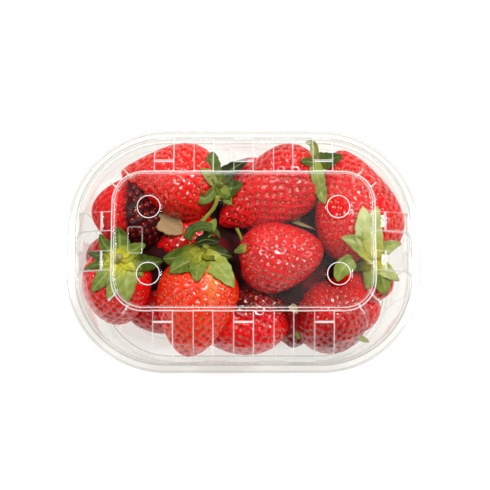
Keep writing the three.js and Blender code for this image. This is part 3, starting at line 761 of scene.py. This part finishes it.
# Loose dry bits between the berries: points (x, y, z), width, lean, tone and dryness.
LOOSE_BITS = [
    ([(17.1, 19.8, 42), (23.7, 18.6, 41), (30.2, 16, 40), (38.9, 12.7, 41)], 1.9, 10, 0.8, 0.75),
    ([(30.8, 22.5, 42), (30.2, 19.1, 41), (29.1, 16, 40.5)], 1.5, 0, 0.8, 0.75),
    ([(-46.0, 23.0, 45.5), (-41.0, 15.5, 45), (-33.0, 9.5, 44)], 13.5, 5, 0.6, 0.85),
    ([(25.2, -29.7, 44), (29, -34.1, 43)], 3.6, 0, 0.9, 0.8),
    ([(28.4, -42.9, 33), (30.6, -46.1, 32)], 2.2, 0, 0.5, 0.1),
    ([(62, -45.8, 36), (67.9, -48, 34)], 2.6, 0, 0.6, 0.1),
]
LEAF_THICKNESS = 0.22
DECK = ring(139.0, 75.2, 17.0, 71.0)
HEAD_ROOM = 1.2
LID_FALL = 0.36
GRID_X = 100
GRID_Y = 70
HEAP_FLOOR = 16.0


def heap_top():
    """The heap's height over a 1 mm grid, from the skins of all the berries."""
    top = np.full((2 * GRID_X, 2 * GRID_Y), HEAP_FLOOR)
    turn, v = np.meshgrid(np.linspace(0, 2 * pi, 260), np.linspace(0.01, pi - 0.01, 200))
    for berry in list(upper_berries.values()) + lower_berries:
        points = in_place(berry, skin(berry, turn.ravel(), v.ravel())) / MM
        cells = np.rint(points[:, :2] + [GRID_X, GRID_Y]).astype(int)
        np.maximum.at(top, (cells[:, 0], cells[:, 1]), points[:, 2])
    return top


HEAP_TOP = heap_top()


def over_heap(x, y):
    """The heap's height at plan points, between the grid's points."""
    across = np.clip(x + GRID_X, 0, 2 * GRID_X - 1.1)
    back = np.clip(y + GRID_Y, 0, 2 * GRID_Y - 1.1)
    i, j = across.astype(int), back.astype(int)
    a, b = across - i, back - j
    near = HEAP_TOP[i, j] * (1 - b) + HEAP_TOP[i, j + 1] * b
    far = HEAP_TOP[i + 1, j] * (1 - b) + HEAP_TOP[i + 1, j + 1] * b
    return near * (1 - a) + far * a


def under_lid(x, y):
    """The height that a leaf may reach under the lid's deck and the slope round it."""
    half_x, half_y, corner, z = DECK
    beyond_x = np.maximum(np.abs(x) - half_x + corner, 0)
    beyond_y = np.maximum(np.abs(y) - half_y + corner, 0)
    beyond = np.maximum(np.hypot(beyond_x, beyond_y) - corner, 0)
    return z - HEAD_ROOM - LID_FALL * beyond


def closed_leaf(grid, tone, dry, heart=0.0):
    """A thin closed sheet under a grid of points, with what its material reads."""
    rows, across = grid.shape[:2]
    facing = unit(np.cross(np.gradient(grid, axis=1), np.gradient(grid, axis=0)))
    points = np.concatenate([grid.reshape(-1, 3), (grid - facing * LEAF_THICKNESS).reshape(-1, 3)])
    count = rows * across
    faces = []
    for i in range(rows - 1):
        for j in range(across - 1):
            a = i * across + j
            faces.append((a, a + 1, a + across + 1, a + across))
            faces.append((count + a, count + a + across, count + a + across + 1, count + a + 1))
    index = np.arange(count).reshape(rows, across)
    border = [*index[0], *index[1:, -1], *index[-1, -2::-1], *index[-2:0:-1, 0]]
    for a, b in zip(border, border[1:] + border[:1]):
        faces.append((b, a, count + a, count + b))
    attributes = {
        "tone": tone, "dry": dry, "heart": heart,
        "across": np.tile(np.abs(np.linspace(-1, 1, across)), 2 * rows),
        "along": np.tile(np.repeat(np.linspace(0, 1, rows), across), 2),
    }
    return points * MM, faces, attributes


def leaf_outline(s, width, wave):
    """Half the leaf's width along it: broad in the middle, pointed, with a few coarse teeth."""
    half = width / 2 * (0.5 * (1 - s) ** 3 + np.sin(pi * np.minimum(s, 0.997) ** 0.82) ** 0.66)
    return np.maximum(half * (1 + 0.05 * np.sin(30 * s + wave)), 0.04)


def sepal(hub, tip_x, tip_y, width, lift, rise, tone, heart, seed):
    """One sepal, laid over the heap from its hub to its tip."""
    draw = random.Random(seed)
    hub = np.array(hub, float)
    rows, across = 23, 11
    s = np.linspace(0, 1, rows)
    reach = np.array((tip_x, tip_y)) - hub[:2]
    length = hypot(*reach)
    side = np.array([reach[1], -reach[0]]) / length
    sway = draw.uniform(-0.08, 0.08) * length
    wave = draw.uniform(0, 6.28)
    path = hub[:2] + np.outer(s, reach) + np.outer(sway * np.sin(pi * s), side)
    rest = over_heap(*path.T) + 0.5
    held = np.max(rest[None, :] - 1.3 * length * np.abs(s[:, None] - s[None, :]), axis=1)
    z = np.maximum(held, hub[2] - 0.75 * length * s)
    for _ in range(3):
        z[1:-1] = (z[:-2] + 2 * z[1:-1] + z[2:]) / 4
    z += lift * length * s ** 1.5 + 0.35 * np.sin(6 * s + wave)
    half = leaf_outline(s, width, wave)
    u = np.linspace(-1, 1, across)
    out = half[:, None] * u
    x = path[:, :1] + side[0] * out
    y = path[:, 1:] + side[1] * out
    droop = 0.7 * (1 - min(1.0, lift * 4))
    flat = z[:, None] + 0.25 * np.sin(5 * u + 9 * s[:, None] + wave)
    height = np.clip(over_heap(x, y) + 0.5, flat - droop * np.abs(out), flat + 0.6 * np.abs(out))
    height += rise * half[:, None] * u ** 2
    height -= 0.35 * np.exp(-(u / 0.18) ** 2)
    height = np.minimum(height, under_lid(x, y))
    return closed_leaf(np.stack([x, y, height], 2), tone + draw.uniform(-0.06, 0.06), 0.0, heart)


def smooth_line(points, count):
    """A line through rounded corners, as count points."""
    line = np.array(points, float)
    for _ in range(3):
        cut = np.stack([line[:-1] * 0.75 + line[1:] * 0.25, line[:-1] * 0.25 + line[1:] * 0.75], 1)
        line = np.concatenate([line[:1], cut.reshape(-1, 3), line[-1:]])
    gone = np.concatenate([[0], np.cumsum(np.linalg.norm(np.diff(line, axis=0), axis=1))])
    at = np.linspace(0, gone[-1], count)
    return np.stack([np.interp(at, gone, line[:, k]) for k in range(3)], 1)


def across_line(line):
    """Unit vectors across a line: level ones, and the ones square to them and to the line."""
    tangent = unit(np.gradient(line, axis=0))
    level = unit(np.cross(tangent, [0, 0, 1.0]))
    return level, np.cross(level, tangent)


def curled_leaf(points, width, lean, tone, seed, dry=0.0):
    """A leaf along a given midrib, leaning over to one side by so many degrees."""
    wave = random.Random(seed).uniform(0, 6.28)
    rows, across = 25, 9
    line = smooth_line(points, rows)
    level, upright = across_line(line)
    lean = radians(lean)
    side = level * cos(lean) + upright * sin(lean)
    square = upright * cos(lean) - level * sin(lean)
    s = np.linspace(0, 1, rows)
    half = leaf_outline(np.clip(s, 0.03, 1), width, wave)
    u = np.linspace(-1, 1, across)
    grid = line[:, None, :] + side[:, None, :] * (half[:, None] * u)[..., None]
    grid += square[:, None, :] * (half[:, None] * (0.35 * u ** 2 + 0.1 * np.sin(4 * u + wave)))[..., None]
    grid[..., 2] = np.minimum(grid[..., 2], under_lid(grid[..., 0], grid[..., 1]))
    return closed_leaf(grid, tone, dry)


def stalk(points, radius, tone, dry):
    """A round green stalk, a little thicker at its ends."""
    rows, around = 14, 10
    line = smooth_line(points, rows)
    level, upright = across_line(line)
    s = np.linspace(0, 1, rows)
    thick = radius * (1 + 0.35 * (2 * s - 1) ** 4)
    turn = np.linspace(0, 2 * pi, around, endpoint=False)[None, :, None]
    wheel = level[:, None, :] * np.cos(turn) + upright[:, None, :] * np.sin(turn)
    grid = line[:, None, :] + wheel * thick[:, None, None]
    faces = [tuple(range(around)), tuple((rows - 1) * around + j for j in range(around))[::-1]]
    faces += [(a, d, c, b) for a, b, c, d in tube_faces(rows, around)]
    attributes = {"tone": tone, "dry": dry, "heart": 0.5, "across": 0.6, "along": 0.3}
    return grid.reshape(-1, 3) * MM, faces, attributes


def sepal_leaf():
    """Calyx leaf: matt, finely ribbed green with a pale midrib, yellower round the hub. Dry bits
    have turned tan."""
    material, add = new_material("strawberry_sepal")
    tone, dry, across, lengthwise, heart = [
        add("Attribute", attribute_name=key).outputs["Fac"]
        for key in ("tone", "dry", "across", "along", "heart")]
    place = add("TexCoord").outputs["Object"]
    mottle = add("TexNoise", {"Vector": place, "Scale": 1 / (4 * MM), "Detail": 3.0})
    uneven = add("Math", {0: mottle, 1: 0.5, 2: -0.25}, operation="MULTIPLY_ADD")
    shade = add("Math", {0: tone, 1: uneven}, operation="ADD", use_clamp=True)
    colour = add("ValToRGB", {"Fac": shade})
    fill_ramp(colour, [(0.0, "#1c2606"), (0.35, "#485c16"), (0.7, "#84913e"), (1.0, "#bcc284")])
    hub = add("MapRange", {"Value": lengthwise, "From Min": 0.05, "From Max": 0.5, "To Min": 1.0,
                           "To Max": 0.0})
    hearty = add("Math", {0: hub, 1: heart}, operation="MULTIPLY")
    rib = add("MapRange", {"Value": across, "From Max": 0.16, "To Min": 0.3, "To Max": 0.0})
    for share, over in ((hearty, "#d2c82e"), (rib, "#c6c884"), (dry, "#a07c5a")):
        colour = add("Mix", {"Factor": share, 6: colour, 7: over}, data_type="RGBA")
    slant = add("Math", {0: across, 1: -0.32, 2: lengthwise}, operation="MULTIPLY_ADD")
    veins = add("Math", {0: slant, 1: 50.0}, operation="MULTIPLY")
    veins = add("Math", {0: veins}, operation="SINE")
    relief = add("Math", {0: veins, 1: 0.5, 2: mottle}, operation="MULTIPLY_ADD")
    bump = add("Bump", {"Height": relief, "Distance": 0.15 * MM, "Strength": 0.6})
    surface = add("BsdfPrincipled", {"Base Color": colour, "Roughness": 0.45, "IOR": 1.4,
                                     "Specular IOR Level": 0.3, "Normal": bump})
    add("OutputMaterial", {"Surface": surface})
    return material


leaf_material = sepal_leaf()
for number, (name, (hub, heart, leaves, curls, stem)) in enumerate(CROWNS.items()):
    parts = [sepal(hub, *leaf, heart, 100 * number + i) for i, leaf in enumerate(leaves)]
    parts += [curled_leaf(*leaf, 100 * number + 50 + i) for i, leaf in enumerate(curls)]
    parts.append(stalk(*stem))
    mesh_piece("calyx_" + name, parts, leaf_material)
bits = [curled_leaf(*bit[:4], 900 + i, bit[4]) for i, bit in enumerate(LOOSE_BITS)]
mesh_piece("dry_stalks_and_bits", bits, leaf_material)

# ---- Heap's core ----
# The middle of the heap, where berries are packed too close to be told apart. It is the berries'
# skin painted near-black crimson as shade, uneven as berries pressed together are.

CORE_HALF = (59.0, 31.0, 11.5)
CORE_MIDDLE_Z = 26.0


def blunt(wave):
    """A sine or cosine pressed flatter at its ends, for a body between a block and an egg."""
    return np.sign(wave) * np.abs(wave) ** 0.55


def core_lump():
    rows, around = 48, 120
    rise = np.linspace(-pi / 2 + 0.02, pi / 2 - 0.02, rows)
    turn = np.linspace(0, 2 * pi, around, endpoint=False)
    rise, turn = [a.ravel() for a in np.meshgrid(rise, turn, indexing="ij")]
    x = CORE_HALF[0] * blunt(np.cos(rise)) * blunt(np.cos(turn))
    y = CORE_HALF[1] * blunt(np.cos(rise)) * blunt(np.sin(turn))
    z = CORE_HALF[2] * blunt(np.sin(rise))
    bulge = 1 + 0.07 * np.sin(x / 7.5 + 0.4) * np.sin(y / 6.5 + 1)
    bulge += 0.03 * np.sin(x / 3.1) * np.sin(y / 2.9)
    points = np.stack([x * bulge, y * bulge, z * bulge + CORE_MIDDLE_Z], 1) * MM
    faces = [tuple(range(around))[::-1], tuple((rows - 1) * around + j for j in range(around))]
    # A ripeness above 1 paints the core near-black crimson as shade.
    return points, faces + tube_faces(rows, around), {"pit": 0.0, "pale": 0.0, "ripe": 1.02}


shaded_material = strawberry_skin("core_skin_painted_dark", 0.65, 0.1)
mesh_piece("heap_core", [core_lump()], shaded_material)

# ---- Lid ----
# The top half: one clear PET sheet vacuum-formed with a flat beaded deck for stacking, a ribbed
# slope round it, an upright wall and a turned-down rim that clips over the tray's. Four round
# vents are punched in the deck, and a small bare frame is moulded near its left end.

SHOULDER = ring(174.6, 114.6, 46.5, 64.5)
BEAD = 0.9
BEAD_WIDTH = 2.2
STEP = (0.28, 0.31)
LID_LIP = 5.4

# Relief of a panel, in mm: its lift by the deck, further out and at the shoulder, and how far it
# stands out. The one at each corner dies away before the shoulder.
SUNK = (0.0, 0.0, 0.0, 0.0)
PLAIN = (1.0, 1.0, 1.0, 1.8)
STEPPED = (1.0, 1.8, 1.8, 2.1)
CORNER = (1.0, 0.15, 0.0, 0.0)
SET_BACK = 2.1
AT_DECK = 0.7
FRAME = ring(8.5, 15.1, 1.6, DECK[3])
FRAME_X = -57.0


def slope_ring(share):
    mixed = DECK + (SHOULDER - DECK) * share
    mixed[3] -= (1 - share) * BEAD
    return mixed


def where_stepped(level):
    return 0.6 if level[1] - level[0] > 0.4 else 0.0


lid_stations = quarter_stations((9, 3, 10.55), 0.24, [STEPPED, SUNK, PLAIN, SUNK], (5.0, CORNER), 7)
lid_profile = [
    (inset(DECK, BEAD_WIDTH + 1.0), flat, 0, 0),
    (inset(DECK, BEAD_WIDTH), flat, 0.4, 0.1),
    (inset(DECK, BEAD_WIDTH * 0.7, BEAD), flat, 0.3, 0.8),
    (inset(DECK, BEAD_WIDTH * 0.35, BEAD), flat, 0.3, 0.0),
    (slope_ring(0), lambda level: (0.0, level[0] * AT_DECK), 0.4, 0.8),
    (slope_ring(STEP[0]), lambda level: (0.0, level[0]), 0.4, where_stepped),
    (slope_ring(STEP[1]), lambda level: (0.0, level[1]), 0.4, where_stepped),
    (SHOULDER, lambda level: (level[3] - SET_BACK, level[2]), 1.3, 0.1),
    (inset(rim, RIM_FLANGE), flat, 0.5, -0.5),
    (inset(rim, 0.3), flat, 0.5, -0.7),
    (inset(rim, 0, -LID_LIP), flat, 0, -0.3),
]
# Each vent's lip, where it bends, is painted white as highlight.
vent = [(7.8, 0, 0), (7.2, 0, 0), (6.7, 0.08, 0), (6.4, 0.42, 0), (6.1, 0.6, 0.7), (5.85, 0.5, 1),
        (HOLE_RADIUS, 0.2, 0.3)]
lid_sheet = formed_sheet(lid_stations, lid_profile, DECK[3], vent, False)
# Its last number sets how white its creases are painted as highlight.
lid_plastic = clear_sheet("clear_pet_lid", "#f9f9f7", "#fafbf9", 1.24, 0.75)
sheet_piece("lid_sheet", lid_sheet, lid_plastic, "lid", SHEET)

# The small raised frame: a rounded ridge round a bare oblong.
frame_stations = [("corner", (2.0, 5.0, share, 0.0), (0,), 0.0) for share in np.linspace(0, 1, 6)]
frame_rings = []
for out, rise in ((0.0, -0.05), (0.25, 0.25), (0.5, 0.42), (0.75, 0.25), (1.0, -0.05)):
    outline = inset(FRAME, 1.0 - out)
    outline[2] = max(outline[2], 0.6)
    frame_rings.append(ring_points(outline, frame_stations, flat) + np.array([FRAME_X, 0.0, rise]))
frame_sheet = new_sheet()
# The ridge's bends paint its top white as highlight.
ridge = [np.full(len(frame_rings[0]), bend) for bend in (0.0, 0.15, 0.3, 0.15, 0.0)]
add_rings(frame_sheet, frame_rings, False, ridge)
sheet_piece("moulded_frame", frame_sheet, lid_plastic, "lid", 0)

# ---- Setting ----
# A white sweep of matt paper under two large soft boxes, with fainter ones at the sides, in a
# pale tent. It is seen from almost straight above.

paper, add = new_material("white_paper_sweep")
paper_place = add("TexCoord").outputs["Object"]
paper_grain = add("TexNoise", {"Vector": paper_place, "Scale": 1 / (1.5 * MM)})
paper_bump = add("Bump", {"Height": paper_grain, "Distance": 0.02 * MM, "Strength": 0.3})
paper_surface = add("BsdfPrincipled", {"Base Color": "#8c8c8c", "Roughness": 0.9,
                                       "Emission Strength": 0.82, "Normal": paper_bump})
add("OutputMaterial", {"Surface": paper_surface})
PAPER_HALF = 4.0
PAPER_DROP = 0.0002
corners = [(x * PAPER_HALF, y * PAPER_HALF, 0) for x, y in ((-1, -1), (1, -1), (1, 1), (-1, 1))]
floor_mesh = bpy.data.meshes.new("paper_floor")
floor_mesh.from_pydata(corners, [], [(0, 1, 2, 3)])
floor_mesh.materials.append(paper)
floor = add_object("paper_floor", floor_mesh)
floor.location.z = -PAPER_DROP

# The white tent, with a dark gap straight above and towards the front, where the view looks in. The
# lid's flat middle mirrors that gap and so stays clear, with a pale veil beside it. Round both runs
# a thin brighter ring, which the pits' rims catch.
GAP_LIGHT = 0.03
RING_LIGHT = 6.0
RING_AXIS = (0.0, 0.216, 0.976)
# Angle from the ring's axis, in radians, and the tent's light there as a share of RING_LIGHT.
TENT_SHARES = [(0.0, 0.22), (0.25, 0.22), (0.262, 0.5), (0.32, 0.5), (0.332, 0.034), (1.0, 0.034)]
# The gap's end towards the back, its growth towards the front, its half width there and its place.
GAP_END_Y = 0.258
GAP_GROWTH = 0.35
GAP_HALF = 0.04
GAP_X = -0.0115
world = bpy.data.worlds.new("studio")
world.use_nodes = True
add = node_adder(world.node_tree)
sky = add("TexCoord").outputs["Generated"]
wobble = add("TexNoise", {"Vector": sky, "Scale": 6.0}).outputs["Color"]
wobbled = add("Mix", {"Factor": 0.06, 4: sky, 5: wobble}, data_type="VECTOR")
axes = add("SeparateXYZ", {0: wobbled}).outputs
ahead = add("Math", {0: 0.25, 1: axes["Y"]}, operation="SUBTRACT", use_clamp=True)
gap_half = add("Math", {0: ahead, 1: GAP_GROWTH, 2: GAP_HALF}, operation="MULTIPLY_ADD")
off_side = add("Math", {0: axes["X"], 1: GAP_X}, operation="SUBTRACT")
off_side = add("Math", {0: off_side}, operation="ABSOLUTE")
off_side = add("Math", {0: off_side, 1: gap_half}, operation="DIVIDE")
beside = add("MapRange", {"Value": off_side, "From Min": 0.8, "From Max": 1.25},
             interpolation_type="SMOOTHSTEP")
behind = add("MapRange", {"Value": axes["Y"], "From Min": GAP_END_Y, "From Max": GAP_END_Y + 0.012},
             interpolation_type="SMOOTHSTEP")
tent = add("Math", {0: beside, 1: behind}, operation="MAXIMUM")
off_axis = add("VectorMath", {0: sky, 1: RING_AXIS}, operation="DOT_PRODUCT")
off_axis = add("Math", {0: off_axis}, operation="ARCCOSINE")
cloth = add("ValToRGB", {"Fac": off_axis})
fill_ramp(cloth, TENT_SHARES)
lit = add("Math", {0: cloth, 1: tent}, operation="MULTIPLY")
bright = add("Math", {0: lit, 1: RING_LIGHT, 2: GAP_LIGHT}, operation="MULTIPLY_ADD")
glow = add("Background", {"Color": "#ffffff", "Strength": bright})
add("OutputWorld", {"Surface": glow})
bpy.context.scene.world = world

# Soft boxes round the punnet: the way they stand, their sides in metres and their radiance.
BOX_DISTANCE = 1.3
SOFT_BOXES = {
    "box_top_right": ((0.36, 0.2, 0.91), (0.24, 0.42), 41),
    "box_top_left": ((-0.36, 0.2, 0.91), (0.16, 0.28), 44),
    "box_front_left": ((-0.62, -0.58, 0.53), (0.16, 0.16), 10),
    "box_front_right": ((0.62, -0.58, 0.53), (0.16, 0.16), 10),
    "box_right": ((0.93, 0.05, 0.35), (0.3, 0.4), 6),
    "box_left": ((-0.93, 0.05, 0.35), (0.3, 0.4), 4),
    "box_back": ((0.0, 0.95, 0.3), (0.6, 0.3), 4),
}
for name, (toward, sides, radiance) in SOFT_BOXES.items():
    light = bpy.data.lights.new(name, "AREA")
    light.shape = "RECTANGLE"
    light.size, light.size_y = sides
    light.energy = radiance * pi * sides[0] * sides[1]
    lamp = add_object(name, light)
    lamp.location = Vector(toward).normalized() * BOX_DISTANCE
    lamp.rotation_euler = (-Vector(toward)).to_track_quat("-Z", "Y").to_euler()

# The view's tilt and distance, the sensor's width in mm, and the rest in pixels of the picture.
TILT = radians(12.5)
DISTANCE = 0.9875
SENSOR = 36.0
PICTURE = 490
FOCAL_LENGTH = 1882.6
SHIFT = 1.5
look = Vector((0.0, -2.765 * MM, 71.4 * MM))
forward = Vector((0.0, sin(TILT), -cos(TILT)))
camera_data = bpy.data.cameras.new("camera")
camera_data.sensor_width = SENSOR
camera_data.lens = SENSOR * FOCAL_LENGTH / PICTURE
camera_data.shift_x = SHIFT / PICTURE
camera = add_object("camera", camera_data)
camera.location = look - forward * DISTANCE
camera.rotation_euler = forward.to_track_quat("-Z", "Y").to_euler()
bpy.context.scene.camera = camera
bpy.context.scene.view_settings.view_transform = "Standard"
bpy.context.scene.cycles.transparent_max_bounces = 32
